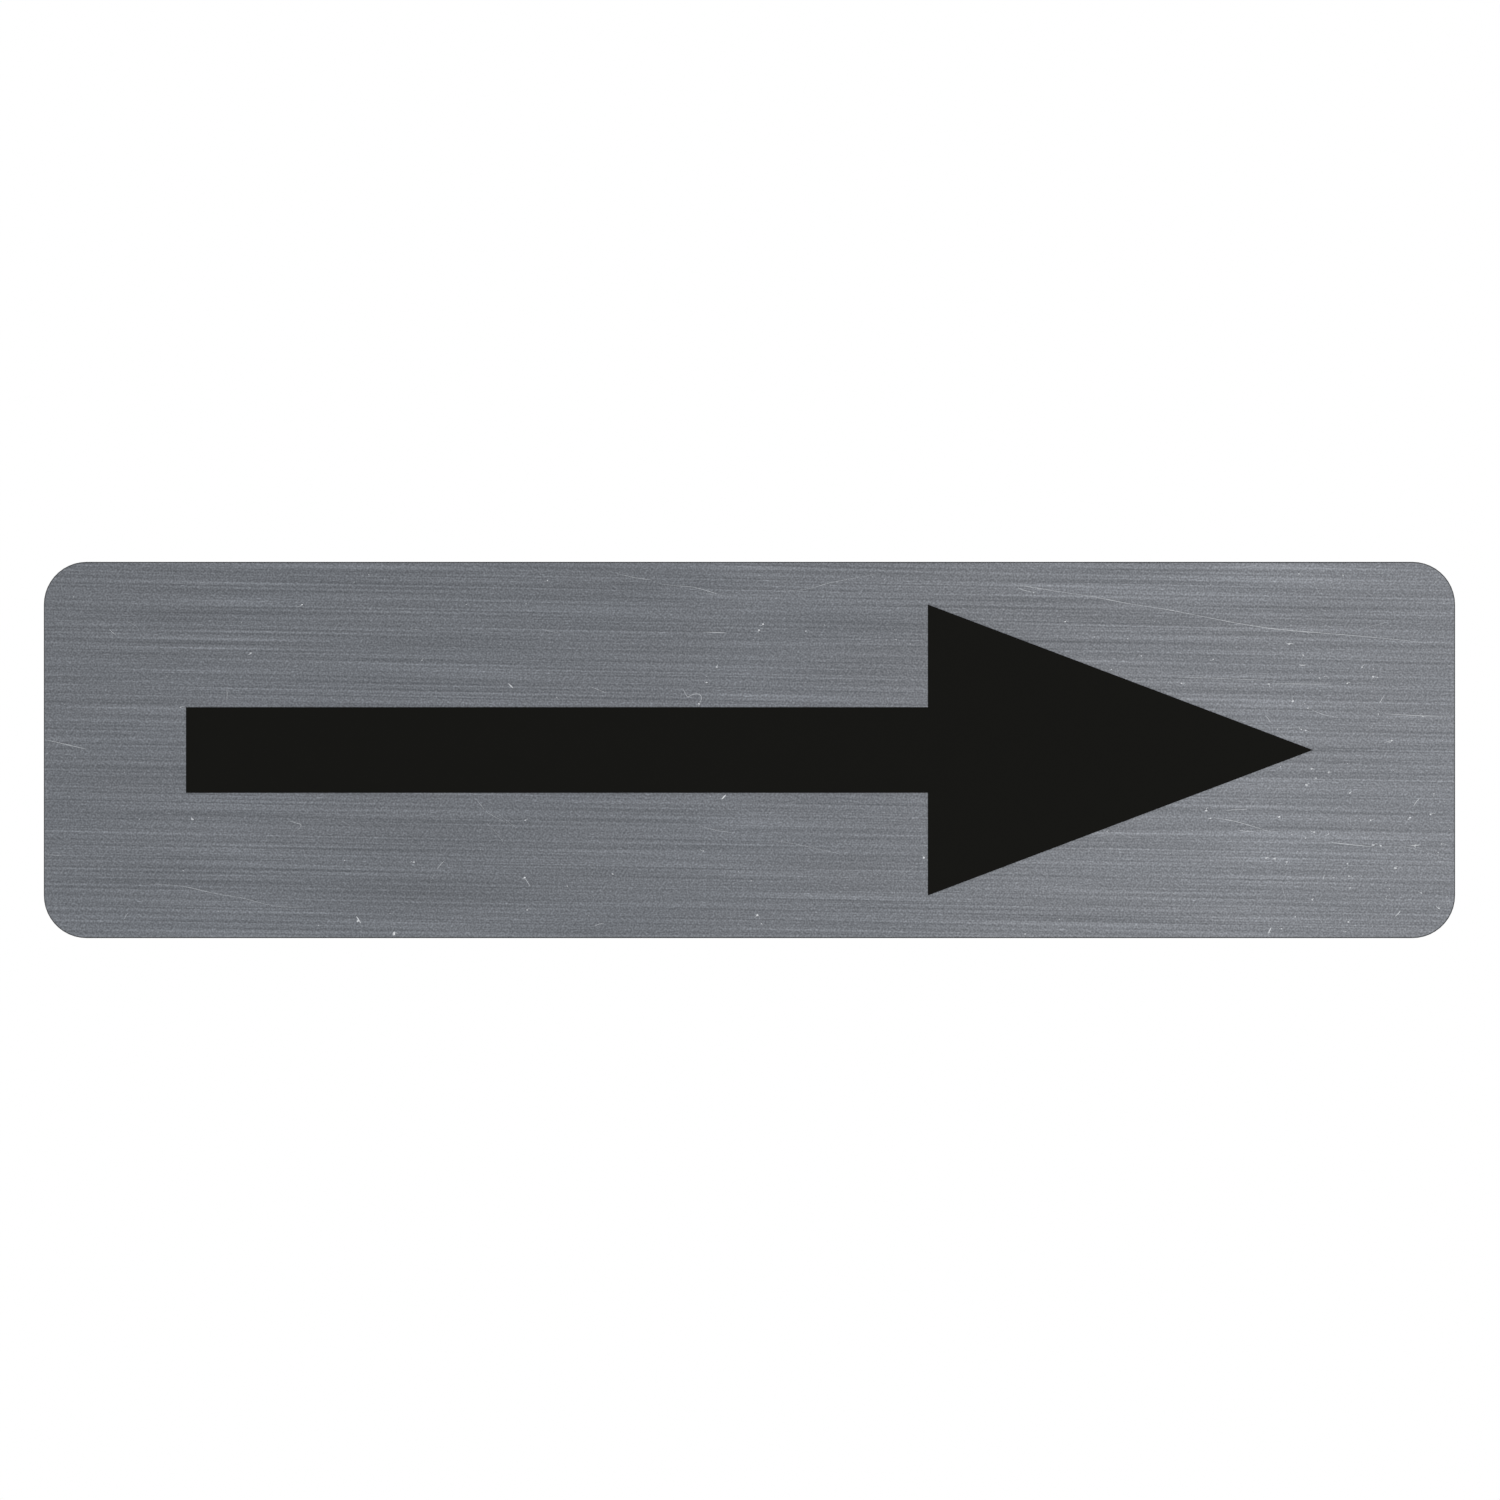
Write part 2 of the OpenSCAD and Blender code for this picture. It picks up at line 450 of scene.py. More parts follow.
# Scratches read off the face: how strong, then the points they pass, in mm from the face's middle
SCRATCHES = (
    # The long one over the arrowhead in two runs, with its forked start and its branch
    (0.65, (30.9, 19.3), (35.6, 18.6), (40.2, 17.9), (44.4, 17.1), (48.9, 16.4), (54.0, 15.4),
     (57.7, 14.7)),
    (0.72, (49.5, 16.3), (54.0, 15.4), (57.7, 14.7), (61.9, 14.1), (66.5, 13.7), (71.5, 13.3),
     (77.5, 12.7), (79.0, 12.45)),
    (0.55, (31.3, 19.25), (33.0, 19.05), (35.4, 18.65)),
    (0.65, (31.35, 19.3), (31.5, 18.9), (32.2, 18.65), (33.3, 18.4)),
    (0.4, (71.0, 14.1), (73.6, 14.7), (75.3, 15.1)),
    (0.2, (77.3, 15.7), (78.3, 16.0), (79.2, 16.3)),
    # Above the shaft
    (0.5, (-15.8, 20.7), (-13.6, 20.2), (-11.2, 19.8)),
    (0.7, (-10.9, 19.5), (-8.7, 19.2), (-6.4, 19.0), (-3.3, 18.1)),
    (0.23, (-11.0, 18.8), (-7.0, 18.6), (-3.0, 18.0), (0.0, 18.2)),
    (0.45, (2.6, 18.5), (6.6, 18.8), (9.7, 19.6), (15.6, 20.7)),
    (0.35, (-25.1, 14.4), (-23.4, 13.9), (-21.7, 13.6)),
    (0.85, (-5.7, 13.8), (-4.2, 13.75), (-2.5, 13.7)),
    (1.05, (-7.9, 7.4), (-7.5, 6.6), (-7.2, 6.2), (-6.6, 6.5), (-5.8, 6.5), (-5.6, 5.9),
     (-6.0, 5.4)),
    (1.5, (-28.2, 7.8), (-27.9, 7.5), (-27.6, 7.2)),
    (0.65, (-18.8, 7.5), (-17.8, 7.1), (-16.6, 6.6)),
    # Over the shaft's left end
    (0.35, (-72.9, 15.1), (-72.1, 14.7), (-71.3, 14.2)),
    (0.6, (-74.9, 14.2), (-74.5, 13.8), (-74.0, 13.4)),
    (0.2, (-70.3, 7.5), (-68.2, 6.2), (-66.2, 5.1)),
    (0.55, (-61.1, 7.2), (-61.05, 6.5), (-61.1, 5.8)),
    (0.65, (-82.3, 1.2), (-80.5, 0.8), (-78.6, 0.35), (-77.3, 0.05)),
    # Under the shaft
    (0.5, (-82.2, -12.1), (-81.2, -12.3), (-80.2, -12.4)),
    (0.5, (-73.1, -19.8), (-72.9, -19.4), (-72.6, -19.0)),
    (0.55, (-71.4, -15.6), (-66.5, -15.9), (-62.8, -16.7), (-59.3, -17.3), (-57.2, -17.85),
     (-55.0, -18.3), (-51.3, -18.4)),
    (0.18, (-76.1, -13.5), (-76.0, -14.0), (-76.1, -14.5)),
    (0.8, (-53.8, -8.3), (-53.1, -8.5), (-52.4, -8.8), (-53.0, -9.5)),
    (0.75, (-35.6, -12.85), (-36.1, -13.4), (-36.6, -14.0)),
    (0.3, (-36.5, -13.9), (-37.2, -15.3), (-37.6, -17.5)),
    (0.48, (-32.1, -5.6), (-31.5, -6.3), (-30.9, -7.1)),
    (0.35, (-29.7, -7.2), (-28.4, -8.2), (-27.0, -9.3)),
    (0.4, (-31.0, -7.1), (-29.6, -7.9), (-28.1, -8.7)),
    (0.35, (-30.9, -8.3), (-29.6, -9.7), (-28.4, -11.2)),
    (0.9, (-26.4, -14.8), (-26.1, -15.2), (-25.6, -16.0)),
    (1.4, (-46.0, -19.4), (-45.7, -19.8), (-45.4, -20.3)),
    (3.2, (-41.5, -21.2), (-41.55, -21.45), (-41.6, -21.7)),
    (0.8, (-18.2, -20.6), (-17.7, -20.4), (-17.0, -20.2)),
    (2.0, (-3.3, -5.8), (-3.0, -5.5), (-2.75, -5.2)),
    (0.45, (-6.2, -8.8), (-3.8, -9.4), (-1.2, -9.8)),
    (0.4, (1.9, -10.5), (4.9, -10.9), (8.6, -11.7), (11.6, -12.4)),
    # Round the tip
    (0.6, (50.0, 8.5), (55.0, 8.35), (61.8, 8.1)),
    (0.7, (60.8, 7.75), (64.5, 7.72), (68.3, 7.7)),
    (0.25, (54.5, 4.6), (65.0, 4.5), (75.0, 4.2)),
    (0.8, (74.0, 4.25), (78.5, 4.0), (82.3, 3.95)),
    (0.3, (71.6, 5.3), (72.9, 4.8), (74.3, 4.3)),
    (0.5, (65.3, 4.95), (66.6, 4.3), (67.7, 4.0), (69.3, 3.7)),
    (0.4, (60.2, 2.7), (63.0, 2.6), (66.3, 2.6)),
    (0.65, (60.2, 4.1), (60.6, 3.7), (60.9, 3.2)),
    (1.3, (64.2, 9.95), (64.6, 9.9), (65.1, 9.95)),
    (1.2, (62.8, 12.4), (63.1, 12.45), (63.6, 12.4)),
    (1.0, (73.6, 5.4), (73.9, 5.9), (74.2, 6.4)),
    (0.85, (74.1, 0.85), (74.7, 1.0), (75.3, 1.15)),
    # The lower right corner
    (0.75, (54.0, -7.9), (55.5, -8.1), (57.0, -8.4), (59.4, -9.1), (61.3, -9.7)),
    (0.65, (55.5, -7.1), (57.0, -6.95), (58.4, -7.0)),
    (0.8, (57.0, -9.35), (58.0, -9.5), (59.1, -9.5)),
    (0.4, (58.9, -9.4), (61.0, -9.5), (63.0, -9.6)),
    (0.45, (75.0, -2.2), (75.5, -2.5), (76.2, -2.5)),
    (1.4, (77.2, -11.2), (77.8, -11.15), (78.4, -11.1)),
    (1.0, (67.2, -14.5), (67.1, -14.9), (67.0, -15.2)),
    (0.95, (67.8, -10.8), (70.6, -11.1), (73.0, -11.3)),
    (0.3, (73.0, -11.3), (77.0, -11.4), (81.9, -12.9)),
    (0.28, (79.4, -12.9), (80.8, -13.0), (82.2, -13.2)),
    (1.0, (78.5, -5.5), (77.9, -6.1), (77.6, -6.7)),
    (1.5, (61.0, -20.7), (60.8, -21.1), (60.6, -21.5)),
    (1.6, (76.1, -18.75), (75.8, -19.15), (75.4, -19.5)),
    (0.3, (68.2, -14.5), (67.9, -14.9), (67.8, -15.4)),
    # The upper right corner
    (0.4, (79.8, 19.2), (80.3, 19.7), (80.9, 20.1)),
    (0.1, (79.0, 18.4), (79.8, 18.9), (80.6, 19.5)),
)

# Bright specks read off the face, in mm from its middle
BRIGHT_SPECKS = (
    (-65.1, -8.1), (-26.3, -14.9), (-58.3, 11.3), (-41.6, -21.4), (-45.8, -20.0), (-3.8, 9.7),
    (1.6, 14.7), (1.1, 14.0), (0.9, -19.3), (20.4, -12.6), (63.1, 12.4), (71.6, 9.7), (69.9, 7.8),
    (72.9, 8.6), (60.7, 7.7), (63.5, 5.7), (75.1, 1.1), (65.7, -2.2), (67.7, -2.6), (66.2, -3.3),
    (65.1, -4.1), (53.4, -7.1), (53.9, -8.0), (79.6, -7.5), (77.2, -7.9), (66.0, -9.6),
    (72.9, -11.1), (77.8, -11.2), (60.4, -12.6), (61.4, -12.7), (62.8, -13.1), (75.5, -13.8),
    (70.1, -14.75), (65.8, -17.5), (70.0, -20.1), (80.6, -18.5),
)

# Plainer specks
SPECKS = (
    (-38.3, 10.5), (-52.3, 17.0), (-66.5, 5.0), (-39.2, -13.1), (-5.9, 5.4), (-5.0, 7.9),
    (-23.6, 19.8), (-26.2, -8.2), (-5.4, -11.8), (-26.0, -18.7), (1.4, -20.3), (33.2, 18.4),
    (32.2, -21.5), (41.8, -9.5), (64.2, 20.6), (69.4, 20.4), (36.9, 15.0), (45.8, 11.0),
    (50.5, 7.8), (54.2, 10.6), (64.7, 11.1), (73.4, 8.5), (66.6, 8.4), (67.2, 8.6), (64.9, 5.4),
    (65.3, 4.9), (73.5, 4.2), (78.7, 3.9), (64.5, 2.4), (65.0, 2.3), (70.2, -5.0), (80.0, -5.1),
    (72.6, -8.2), (61.9, -7.8), (67.7, -9.8), (65.0, -10.3), (73.8, -11.2), (80.9, -11.0),
    (69.9, -13.3), (68.3, -14.9), (70.2, -16.1), (78.5, -16.7), (74.4, -17.4), (62.2, -20.9),
    (60.8, -21.3), (69.7, -21.2),
)

# Dim specks
DIM_SPECKS = (
    (-79.0, 17.9), (-33.1, 17.0), (-71.3, -8.1), (-66.2, -14.1), (-50.4, -20.5), (6.6, 13.9),
    (8.8, 14.6), (-26.1, 17.1), (-5.0, 8.6), (-47.3, -12.9), (-22.5, 6.1), (-21.3, -15.9),
    (-16.0, -14.5), (0.2, -15.3), (-4.6, -5.4), (18.8, 12.4), (36.2, -19.8), (42.3, 9.4),
    (44.2, 13.0), (40.3, 13.2), (53.9, 19.3), (64.6, 9.9), (72.9, 9.5), (61.7, 2.45),
    (62.1, -1.95), (63.4, -9.9), (80.5, -12.0), (74.4, -15.5), (74.8, -16.2), (63.8, -19.5),
    (71.7, -21.5),
)

# Smallest and largest radius of each kind, in mm
SPECK_SIZES = ((BRIGHT_SPECKS, 0.11, 0.15), (SPECKS, 0.085, 0.12), (DIM_SPECKS, 0.065, 0.09))

# Smallest and largest radius of the scattered faint specks, in mm
FAINT_SPECK_SIZE = (0.025, 0.06)

# A speck is longer than it is wide by these factors, its length is turned from the plate's by
# about this angle, and its outline wavers by these factors
SPECK_LENGTH = (1.1, 1.7)
SPECK_TURN = 0.4
SPECK_RAGGED = (0.55, 1.15)

# The scattered nicks: mean and spread of their turn, half length in mm, and width beside the
# strongest scratch
NICK_TURN = (-0.3, 0.7)
NICK_REACH = (0.3, 1.3)
NICK_WIDTHS = (0.2, 0.35)

# Shortest and longest spur of a speck, in mm
SPUR_REACH = (0.3, 0.7)

# How far clear of the arrow lie the middle and the ends of a nick, the tip of a spur and a faint
# speck, in mm
NICK_CLEAR, NICK_END_CLEAR = 2.0, 0.2
SPUR_CLEAR = 0.1
FAINT_SPECK_CLEAR = 0.3

# How wide the spur of a speck is beside the strongest scratch
SPUR_WIDTHS = ((BRIGHT_SPECKS, 0.75), (SPECKS, 0.5))

# The marks' feet lie this far under the face, so that no gap shows under them
SUNK = 0.004 * MM

# Height of a scratch beside half its width, and of a speck beside its radius
SCRATCH_HEIGHT = 0.2
SPECK_HEIGHT = 0.18

# Points along a scratch lie at most this far apart, in mm
PATH_STEP = 0.4

# A scratch is narrower or wider by these factors, drawn anew after this many points, and its
# ends are the blunter the nearer this power is to 0
RAGGED = (0.65, 1.15)
RAGGED_EVERY = 6
BLUNTNESS = 0.35


class BareFace:
    """The plate's face without the arrow: it tells where a small mark may lie."""

    def __init__(self, rng):
        self.rng = rng
        self.plate, self.film = (self.tree(node) for node in ("sign_plate", "arrow"))

    def tree(self, node):
        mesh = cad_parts[node].data
        return BVHTree.FromPolygons(
            [vertex.co for vertex in mesh.vertices], [face.vertices for face in mesh.polygons])

    def holds(self, place, margin):
        """Whether a place in mm is on the flat of the face, this far clear of the film."""
        point = Vector((place[0] * MM, FACE_Y, place[1] * MM))
        on_flat = self.plate.find_nearest(point)[3] < 0.001 * MM
        return on_flat and self.film.find_nearest(point)[3] > margin * MM

    def scatter(self, count, margin):
        """Random places in mm, over half of them crowded near the end that the arrow points to."""
        right, top = PLATE_HIGH.x / MM, PLATE_HIGH.z / MM
        share_crowded, mean_distance = 0.55, 14
        places = []
        while len(places) < count:
            if self.rng.random() < share_crowded:
                x = right - self.rng.exponential(mean_distance)
            else:
                x = self.rng.uniform(-right, right)
            place = (x, self.rng.uniform(-top, top))
            if self.holds(place, margin):
                places.append(place)
        return places


def smooth_path(points, step):
    """Points about step apart on a smooth curve through the given ones."""
    given = np.array(points, float)
    ends = np.vstack((2 * given[0] - given[1], given, 2 * given[-1] - given[-2]))
    path = [given[0]]
    for a, b, c, d in zip(ends, ends[1:], ends[2:], ends[3:]):
        count = max(2, math.ceil(np.linalg.norm(c - b) / step))
        for t in np.linspace(0, 1, count + 1)[1:]:
            path.append(0.5 * (2 * b + (c - a) * t + (2 * a - 5 * b + 4 * c - d) * t**2
                               + (3 * b - a - 3 * c + d) * t**3))
    return np.array(path)


def burr(points, width, rng):
    """Vertices and faces of one raised scratch: a closed ridge that thins out to both ends."""
    reach = math.dist(points[0], points[-1])
    path = smooth_path(points, min(PATH_STEP, reach / 8)) * MM
    count = len(path)
    along = np.gradient(path, axis=0)
    along /= np.linalg.norm(along, axis=1)[:, None]
    aside = np.c_[-along[:, 1], along[:, 0]]
    swell = np.sin(np.linspace(0, math.pi, count)).clip(0) ** BLUNTNESS
    knots = np.arange(0, count + RAGGED_EVERY, RAGGED_EVERY)
    ragged = np.interp(np.arange(count), knots, rng.uniform(*RAGGED, len(knots)))
    half = 0.5 * width * swell * ragged
    sunk, crest = FACE_Y + SUNK, FACE_Y - SCRATCH_HEIGHT * half
    verts = []
    for i in range(1, count - 1):
        left, right = path[i] - aside[i] * half[i], path[i] + aside[i] * half[i]
        verts += [(left[0], sunk, left[1]), (path[i][0], crest[i], path[i][1]),
                  (right[0], sunk, right[1])]
    rings = count - 2
    faces = []
    for i in range(rings - 1):
        for j in range(3):
            k = (j + 1) % 3
            faces.append((3 * i + j, 3 * i + 3 + j, 3 * i + 3 + k, 3 * i + k))
    first, last = len(verts), len(verts) + 1
    verts += [(path[0][0], sunk, path[0][1]), (path[-1][0], sunk, path[-1][1])]
    end = 3 * (rings - 1)
    for j in range(3):
        k = (j + 1) % 3
        faces += [(first, j, k), (last, end + k, end + j)]
    return verts, faces


def pimple(place, radius, rng):
    """Vertices and faces of one raised speck: a low six-sided cone, longer along the brushing."""
    sides = 6
    long, turn = rng.uniform(*SPECK_LENGTH), rng.normal(0, SPECK_TURN)
    middle_x, middle_z = place[0] * MM, place[1] * MM
    verts = [(middle_x, FACE_Y - SPECK_HEIGHT * radius, middle_z)]
    for i in range(sides):
        angle = 2 * math.pi * i / sides
        reach = radius * rng.uniform(*SPECK_RAGGED)
        x, z = long * reach * math.cos(angle), reach * math.sin(angle)
        verts.append((middle_x + x * math.cos(turn) - z * math.sin(turn),
                      FACE_Y + SUNK,
                      middle_z + x * math.sin(turn) + z * math.cos(turn)))
    faces = [(0, 1 + i, 1 + (i + 1) % sides) for i in range(sides)]
    faces.append(tuple(range(sides, 0, -1)))
    return verts, faces


def nick(place, rng):
    """Points in mm of a short straight scratch with its middle at a place."""
    x, z = place
    turn, reach = rng.normal(*NICK_TURN), rng.uniform(*NICK_REACH)
    aside = (reach * math.cos(turn), reach * math.sin(turn))
    return (x - aside[0], z - aside[1]), (x, z + 0.1 * reach), (x + aside[0], z + aside[1])


def spur(place, rng):
    """Points in mm of a short scratch that runs out of a speck, a little bent."""
    turn, reach = rng.uniform(0, 2 * math.pi), rng.uniform(*SPUR_REACH)
    x, z = reach * math.cos(turn), 0.7 * reach * math.sin(turn)
    bend = (place[0] + 0.5 * x - 0.15 * z, place[1] + 0.5 * z + 0.15 * x)
    return place, bend, (place[0] + x, place[1] + z)


def bare_metal(look):
    """Bright, rough metal of a fresh scratch."""
    shading = Shading("bare_metal")
    dull = shading.noise((0.8 * MM,) * 3, 0.0, 0.3, detail=1.0)
    colour = shading.scaled(tuple(look.colour), shading.ramp(dull, 0.25, 0.75, 0.8, 1.15))
    metal = shading.node(
        "ShaderNodeBsdfPrincipled",
        {"Base Color": colour, "Metallic": 1.0,
         "Roughness": shading.ramp(dull, 0.25, 0.75, 0.5, 0.4)})
    return shading.finish(metal)


def add_piece(name, parts, material):
    """One piece out of many small closed shapes, riding on the sign."""
    verts, faces = [], []
    for part_verts, part_faces in parts:
        base = len(verts)
        verts += part_verts
        faces += [tuple(base + i for i in face) for face in part_faces]
    mesh = bpy.data.meshes.new(name)
    mesh.from_pydata(verts, [], faces)
    shape = bmesh.new()
    shape.from_mesh(mesh)
    bmesh.ops.recalc_face_normals(shape, faces=shape.faces)
    shape.to_mesh(mesh)
    shape.free()
    mesh.materials.append(material)
    piece = bpy.data.objects.new(name, mesh)
    bpy.context.scene.collection.objects.link(piece)
    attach(piece, BODY)
    return piece


# The foam tape


# How the tape is cut: distance between the points of its outline, what its corners lose, and
# how far its ends are out of square
CUT_STEP = 0.8 * MM
CUT_CORNER = 0.25 * MM
CUT_SKEW = 0.35 * MM

# Levels of its cut sides from the front skin to the back skin, as parts of its thickness
SIDE_LEVELS = (0.0, 0.06, 0.2, 0.4, 0.6, 0.8, 0.94, 1.0)

# How far the sides lie inside the outline everywhere, how much further halfway between the
# skins, and how much further at most where foam is torn
SIDE_INSET = 0.02 * MM
SIDE_DRAW = 0.14 * MM
SIDE_TORN = 0.05 * MM

# Size of the cells of the foam
CELL = 0.22 * MM


def foam(look):
    """Closed-cell foam: fine pore hollows on the cut sides, darker as painted shade, a smooth tacky
    skin on the two faces.
    """
    shading = Shading("foam_tape")
    skin = shading.ramp(shading.math("ABSOLUTE", shading.facing()), *BACK_FACING)

    cells = shading.node("ShaderNodeTexVoronoi", {"Vector": shading.place(), "Scale": 1 / CELL})
    # The cut sides are darker in the hollow of each foam cell, painted shade; the same pattern
    # gives their bump
    pore_depth_and_shade = shading.ramp(cells.outputs["Distance"], 0.1, 0.6, 0.72, 1.0)
    cut = shading.scaled(tuple(look.colour), pore_depth_and_shade)

    cloud = shading.noise((9 * MM,) * 3, 0.0, 2, detail=2.0)
    bubbles = shading.noise((1.6 * MM,) * 3, 0.0, 5, detail=1.0)
    spots = shading.ramp(bubbles, 0.68, 0.78)
    spot_colour = with_alpha(0.95 * part for part in look.colour)
    tacky = shading.scaled(tuple(look.colour), shading.ramp(cloud, 0.2, 0.8, 0.97, 1.02))
    tacky = shading.mix(spots, tacky, spot_colour)

    cut_height = shading.math("MULTIPLY", pore_depth_and_shade, shading.math("SUBTRACT", 1.0, skin))
    skin_height = shading.math("MULTIPLY", shading.math("ADD", cloud, spots), 0.2)
    bump = shading.node(
        "ShaderNodeBump",
        {"Height": shading.math("ADD", cut_height, skin_height),
         "Strength": 0.6, "Distance": 0.05 * MM})
    soft = shading.node(
        "ShaderNodeBsdfPrincipled",
        {"Base Color": shading.mix(skin, cut, tacky),
         "Roughness": shading.ramp(skin, 0.0, 1.0, 0.9, 0.38), "Normal": bump.outputs[0]})
    return shading.finish(soft)


def tape_outline():
    """Outline of the cut tape: straight long sides, and ends cut a little out of square."""
    half_l, half_w = (TAPE_HIGH.x - TAPE_LOW.x) / 2, (TAPE_HIGH.z - TAPE_LOW.z) / 2
    corners = np.array([
        (-half_l + CUT_SKEW, -half_w), (half_l, -half_w), (half_l - CUT_SKEW, half_w),
        (-half_l, half_w)])
    outline = []
    for here, after in zip(corners, np.roll(corners, -1, axis=0)):
        way = (after - here) / np.linalg.norm(after - here)
        start, end = here + way * CUT_CORNER, after - way * CUT_CORNER
        count = max(2, round(np.linalg.norm(end - start) / CUT_STEP))
        outline += [start + (end - start) * t for t in np.linspace(0, 1, count + 1)]
    return np.array(outline)


def foam_tape(rng):
    """Vertices and faces of the tape: its cut sides draw in a little between the two skins."""
    outline = tape_outline()
    count = len(outline)
    along = np.roll(outline, -1, axis=0) - np.roll(outline, 1, axis=0)
    along /= np.linalg.norm(along, axis=1)[:, None]
    inward = np.c_[-along[:, 1], along[:, 0]]
    thickness = TAPE_HIGH.y - TAPE_LOW.y
    verts = []
    for level in SIDE_LEVELS:
        draw = SIDE_DRAW * math.sin(math.pi * level) ** 0.7
        torn = SIDE_TORN * rng.random(count) * (0 < level < 1)
        ring = outline + inward * (draw + torn + SIDE_INSET)[:, None]
        verts += [(x, TAPE_LOW.y + level * thickness, z) for x, z in ring]
    faces = []
    for low in range(0, len(verts) - count, count):
        high = low + count
        for i in range(count):
            k = (i + 1) % count
            faces.append((low + i, low + k, high + k, high + i))
    faces.append(tuple(range(count)))
    faces.append(tuple(reversed(range(len(verts) - count, len(verts)))))
    return verts, faces


# Camera, lamps and surroundings


def eye_rays(tree):
    """1 for what the camera sees straight, in a mirror or through glass, and 0 for other light."""
    path = tree.nodes.new("ShaderNodeLightPath")
    total = path.outputs["Is Camera Ray"]
    for name in ("Is Glossy Ray", "Is Transmission Ray"):
        either = tree.nodes.new("ShaderNodeMath")
        either.operation = "MAXIMUM"
        tree.links.new(total, either.inputs[0])
        tree.links.new(path.outputs[name], either.inputs[1])
        total = either.outputs[0]
    return total


# The photograph in its own pixels: its side, and the plate's length and middle in it
PHOTO_SIDE = 1500
PLATE_SPAN = 1411.27
PLATE_MIDDLE = (749.46, 749.99)

# Width of the camera's sensor in millimetres, and how near and far it sees in metres
SENSOR_WIDTH = 36.0
NEAREST, FURTHEST = 0.01, 50

# Half the side of the floor in metres. From the first distance to the second the floor goes
# over to white, and it is partly white under the sign already.
FLOOR_REACH = 6.0
WHITE_FROM, WHITE_AT = 0.1, 0.28
WHITE_SHARE = 0.35

# Lamps: name, place, width and height in metres, power in watts, and colour
LAMPS = (
    ("key", (0.17, -0.6, -0.07), (0.26, 0.14), 0.27, (1, 0.94, 0.895)),
    ("back", (-0.5, 0.9, 0.6), (0.6, 0.8), 3.0, (1, 1, 1)),
)


def make_camera(stage):
    """Head-on, with the plate as wide in the frame as in the photograph."""
    data = bpy.data.cameras.new("camera")
    data.lens = stage.lens
    data.sensor_width = SENSOR_WIDTH
    camera = bpy.data.objects.new("camera", data)
    bpy.context.scene.collection.objects.link(camera)
    metres_a_pixel = (PLATE_HIGH.x - PLATE_LOW.x) / PLATE_SPAN
    distance = metres_a_pixel * PHOTO_SIDE * data.lens / data.sensor_width - EASED_RIM
    aside = (PHOTO_SIDE / 2 - PLATE_MIDDLE[0]) * metres_a_pixel
    above = (PLATE_MIDDLE[1] - PHOTO_SIDE / 2) * metres_a_pixel
    camera.location = (aside, FACE_Y - distance, above)
    camera.rotation_euler = (math.radians(90), 0, 0)
    data.clip_start = NEAREST
    data.clip_end = FURTHEST
    bpy.context.scene.camera = camera


def make_world(stage):
    """White where it is seen, plain soft light where it only lights."""
    world = bpy.data.worlds.new("studio")
    world.use_nodes = True
    tree = world.node_tree
    tree.nodes.clear()
    seen = tree.nodes.new("ShaderNodeBackground")
    seen.inputs["Color"].default_value = (1, 1, 1, 1)
    seen.inputs["Strength"].default_value = 1.0
    lights = tree.nodes.new("ShaderNodeBackground")
    lights.inputs["Color"].default_value = (1, 1, 1, 1)
    lights.inputs["Strength"].default_value = stage.ambient
    choice = tree.nodes.new("ShaderNodeMixShader")
    tree.links.new(eye_rays(tree), choice.inputs[0])
    tree.links.new(lights.outputs[0], choice.inputs[1])
    tree.links.new(seen.outputs[0], choice.inputs[2])
    output = tree.nodes.new("ShaderNodeOutputWorld")
    tree.links.new(choice.outputs[0], output.inputs["Surface"])
    bpy.context.scene.world = world


def make_floor(stage):
    """Plain pale floor, white to the eye further out, with the sign's shadow kept near its foot."""
    mesh = bpy.data.meshes.new("floor")
    shape = bmesh.new()
    bmesh.ops.create_grid(shape, x_segments=1, y_segments=1, size=FLOOR_REACH)
    shape.to_mesh(mesh)
    shape.free()
    floor = bpy.data.objects.new("floor", mesh)
    floor.location = (0, 0, -stage.floor_drop)
    bpy.context.scene.collection.objects.link(floor)

    shading = Shading("pale_floor")
    lit = shading.node("ShaderNodeBsdfDiffuse", {"Color": (0.8, 0.8, 0.8, 1)})
    white = shading.node("ShaderNodeEmission", {"Color": (1, 1, 1, 1), "Strength": 1.0})
    away = shading.node("ShaderNodeVectorMath", {0: shading.place()}, operation="LENGTH")
    whiteness = shading.ramp(away.outputs["Value"], WHITE_FROM, WHITE_AT, WHITE_SHARE, 1.0)
    straight = shading.node("ShaderNodeLightPath").outputs["Is Camera Ray"]
    shadow = shading.math("MULTIPLY", straight, shading.math("SUBTRACT", 1.0, whiteness))
    share = shading.math(
        "MULTIPLY", eye_rays(shading.tree), shading.math("SUBTRACT", 1.0, shadow))
    choice = shading.node("ShaderNodeMixShader", {0: share})
    shading.tree.links.new(lit.outputs[0], choice.inputs[1])
    shading.tree.links.new(white.outputs[0], choice.inputs[2])
    mesh.materials.append(shading.finish(choice))


def soft_lamp(name, place, size, power, colour):
    """Rectangular soft lamp that looks at the middle of the sign."""
    data = bpy.data.lights.new(name, "AREA")
    data.shape = "RECTANGLE"
    data.size, data.size_y = size
    data.energy = power
    data.color = colour
    lamp = bpy.data.objects.new(name, data)
    lamp.location = place
    lamp.rotation_euler = (-Vector(place)).to_track_quat("-Z", "Y").to_euler()
    bpy.context.scene.collection.objects.link(lamp)


# Operators


class ARROWSIGN_OT_stage(bpy.types.Operator):
    """Set up the camera, the lamps, the floor and the background"""

    bl_idname = "arrowsign.stage"
    bl_label = "Stage"

    def execute(self, context):
        scene = context.scene
        stage = scene.arrowsign_stage
        make_camera(stage)
        make_world(stage)
        make_floor(stage)
        for lamp in LAMPS:
            soft_lamp(*lamp)
        scene.view_settings.view_transform = "Standard"
        return {"FINISHED"}


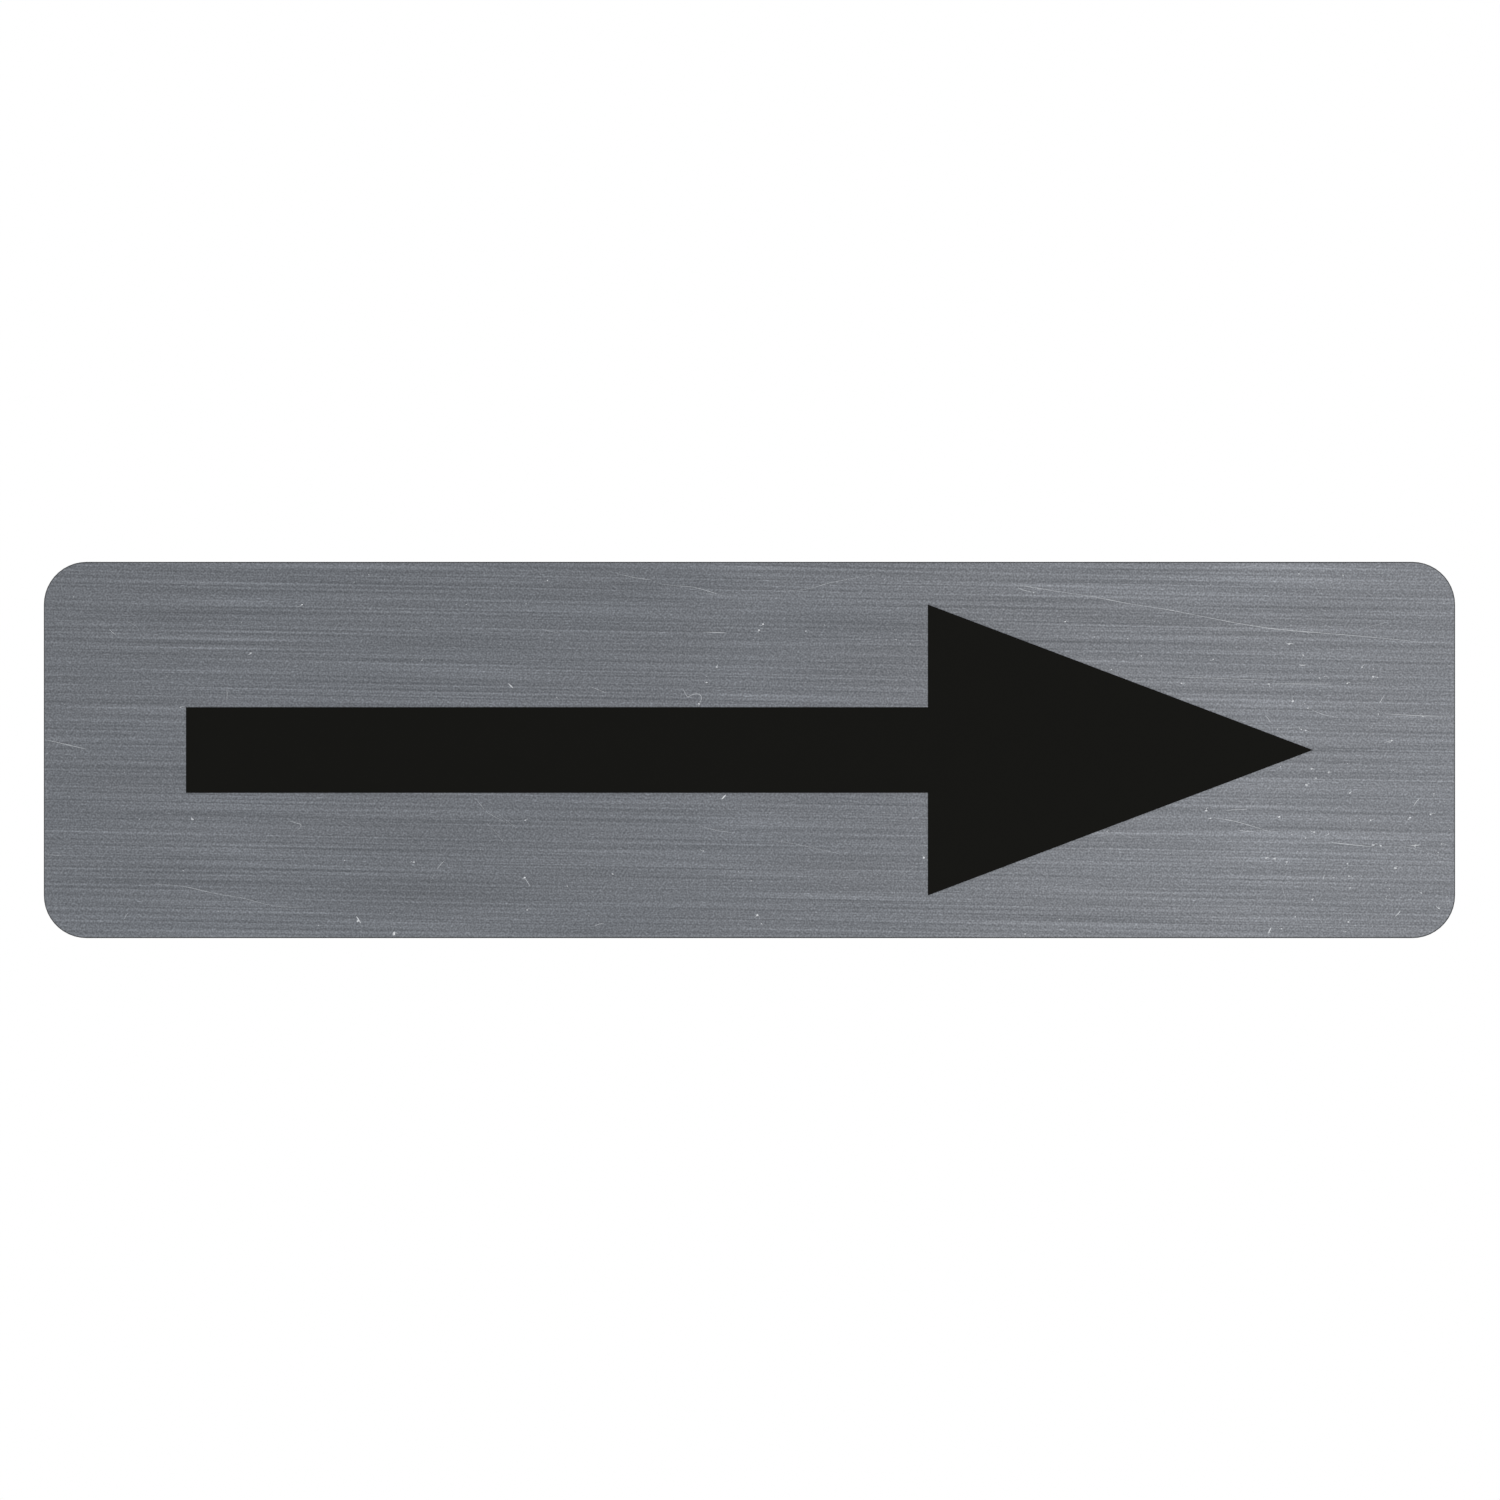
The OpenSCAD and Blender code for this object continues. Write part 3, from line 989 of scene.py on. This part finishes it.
class ARROWSIGN_OT_plate(bpy.types.Operator):
    """Brush the face of the plate and finish its rim and back"""

    bl_idname = "arrowsign.plate"
    bl_label = "Brushed plate"

    def execute(self, context):
        plate = set_finish("sign_plate", brushed_metal(context.scene.arrowsign_plate))
        return {"FINISHED"}


class ARROWSIGN_OT_arrow(bpy.types.Operator):
    """Finish the arrow as matt black film"""

    bl_idname = "arrowsign.arrow"
    bl_label = "Black arrow"

    def execute(self, context):
        arrow = set_finish("arrow", black_film(context.scene.arrowsign_film))
        return {"FINISHED"}


class ARROWSIGN_OT_wear(bpy.types.Operator):
    """Raise the scratches and specks on the brushed face"""

    bl_idname = "arrowsign.wear"
    bl_label = "Scratches and specks"

    def execute(self, context):
        look = context.scene.arrowsign_wear
        rng = np.random.default_rng(look.seed)
        material = bare_metal(look)
        width = look.scratch_width
        face = BareFace(rng)

        scratches = [burr(points, width * strength, rng) for strength, *points in SCRATCHES]
        for place in face.scatter(look.faint_nicks, NICK_CLEAR):
            path = nick(place, rng)
            if all(face.holds(end, NICK_END_CLEAR) for end in (path[0], path[-1])):
                scratches.append(burr(path, width * rng.uniform(*NICK_WIDTHS), rng))
        add_piece("face_scratches", scratches, material)

        specks = [pimple(place, rng.uniform(least, most) * MM, rng)
                  for places, least, most in SPECK_SIZES for place in places]
        for places, strength in SPUR_WIDTHS:
            for path in [spur(place, rng) for place in places]:
                if face.holds(path[-1], SPUR_CLEAR):
                    specks.append(burr(path, width * strength, rng))
        specks += [pimple(place, rng.uniform(*FAINT_SPECK_SIZE) * MM, rng)
                   for place in face.scatter(look.faint_specks, FAINT_SPECK_CLEAR)]
        add_piece("face_specks", specks, material)
        return {"FINISHED"}


class ARROWSIGN_OT_tape(bpy.types.Operator):
    """Cut the foam tape on the back of the plate"""

    bl_idname = "arrowsign.tape"
    bl_label = "Foam tape"

    def execute(self, context):
        look = context.scene.arrowsign_tape
        rng = np.random.default_rng(look.seed)
        tape = add_piece("cut_foam_tape", [foam_tape(rng)], foam(look))
        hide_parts("mounting_tape")
        return {"FINISHED"}


class ARROWSIGN_PT_panel(bpy.types.Panel):
    """Steps and settings of the arrow sign"""

    bl_idname = "ARROWSIGN_PT_panel"
    bl_label = "Arrow Sign"
    bl_space_type = "VIEW_3D"
    bl_region_type = "UI"
    bl_category = "Arrow Sign"

    def draw(self, context):
        for step in STEPS:
            self.layout.operator(step.bl_idname)
        for name in SETTINGS:
            box = self.layout.box()
            group = getattr(context.scene, name)
            for setting in group.__annotations__:
                box.prop(group, setting)


STEPS = (
    ARROWSIGN_OT_stage,
    ARROWSIGN_OT_plate,
    ARROWSIGN_OT_arrow,
    ARROWSIGN_OT_wear,
    ARROWSIGN_OT_tape,
)
SETTINGS = {
    "arrowsign_plate": PlateFinish,
    "arrowsign_film": FilmFinish,
    "arrowsign_wear": WearMarks,
    "arrowsign_tape": TapeFinish,
    "arrowsign_stage": Stage,
}


def register():
    for made in (*SETTINGS.values(), *STEPS, ARROWSIGN_PT_panel):
        bpy.utils.register_class(made)
    for name, group in SETTINGS.items():
        setattr(bpy.types.Scene, name, PointerProperty(type=group))


def unregister():
    for name in SETTINGS:
        delattr(bpy.types.Scene, name)
    for made in (ARROWSIGN_PT_panel, *reversed(STEPS), *SETTINGS.values()):
        bpy.utils.unregister_class(made)


def main():
    register()
    bpy.ops.arrowsign.stage()
    bpy.ops.arrowsign.plate()
    bpy.ops.arrowsign.arrow()
    bpy.ops.arrowsign.wear()
    bpy.ops.arrowsign.tape()


if __name__ == "__main__":
    main()
